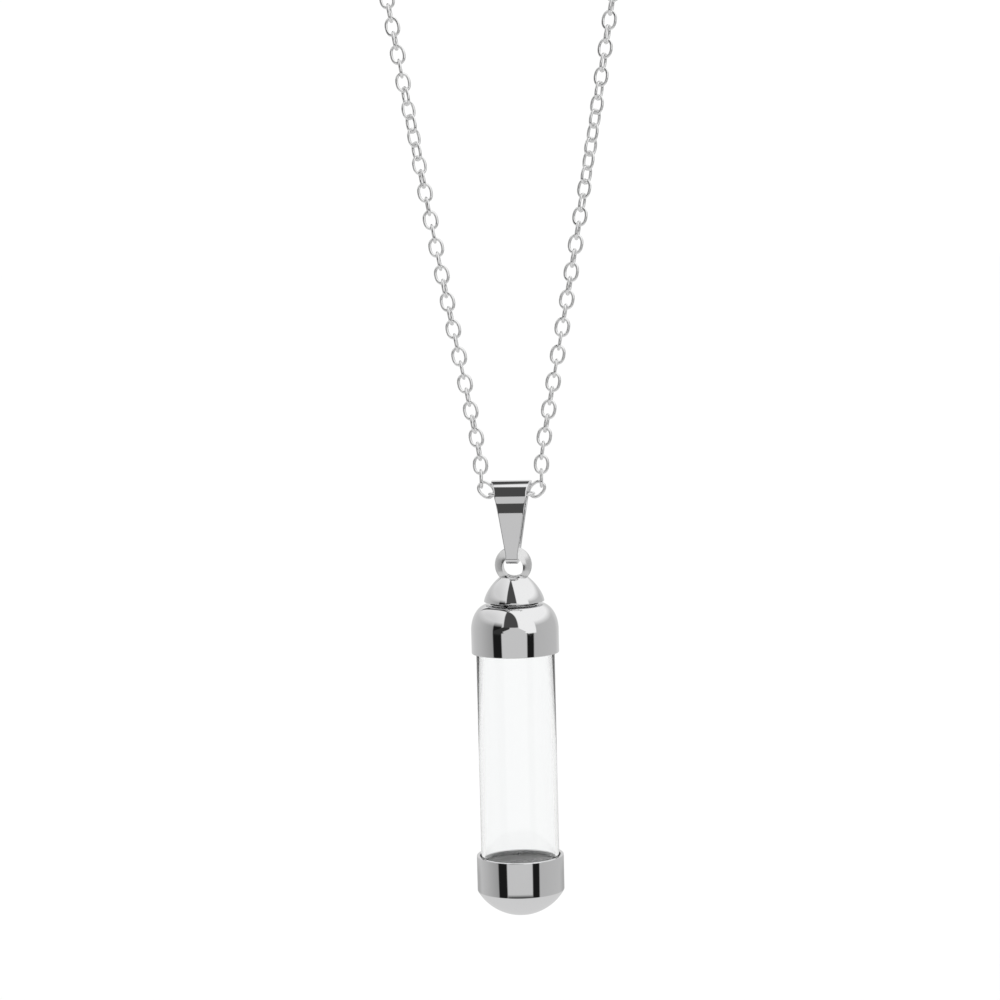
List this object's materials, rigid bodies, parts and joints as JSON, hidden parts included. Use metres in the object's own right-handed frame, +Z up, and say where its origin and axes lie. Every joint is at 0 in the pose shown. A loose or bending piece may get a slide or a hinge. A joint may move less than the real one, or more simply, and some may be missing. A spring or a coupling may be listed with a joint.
{
  "type": "bottle pendant necklace",
  "caption": "Glass tube bottle with polished metal end caps, a screw plug with a drilled ball eyelet and a folded bail on a fine cable chain.",
  "frame": {"origin": "inside of the loop's top, where a neck or a peg holds the necklace up", "axes": "+Z up along the hanging bottle, the front faces -Y, +X to the viewer's right"},
  "size_m": [0.0642, 0.0106, 0.2793],
  "materials": {
    "polished_steel": "mirror polished stainless steel",
    "chain_steel": "bright stainless wire",
    "clear_glass": "clear polished"
  },
  "bodies": {
    "chain": {"chain": "chain_steel", "clasp": "chain_steel"},
    "bail": {"bail": "polished_steel"},
    "plug": {"screw_plug": "polished_steel"},
    "bottle": {"top_cap": "polished_steel", "glass_tube": "clear_glass", "bottom_cap": "polished_steel"}
  },
  "joints": [
    {"name": "bail_swing", "type": "hinge", "parent": "chain", "child": "bail", "pos_m": [0, 0, -0.22565], "axis": [1, 0, 0], "range_deg": [-75, 75]},
    {"name": "pendant_swing", "type": "hinge", "parent": "bail", "child": "plug", "pos_m": [0, 0, -0.23439], "axis": [0, 1, 0], "range_deg": [-40, 40]},
    {"name": "bottle_pull", "type": "slide", "parent": "plug", "child": "bottle", "axis": [0, 0, -1], "range_m": [0, 0.004]}
  ]
}
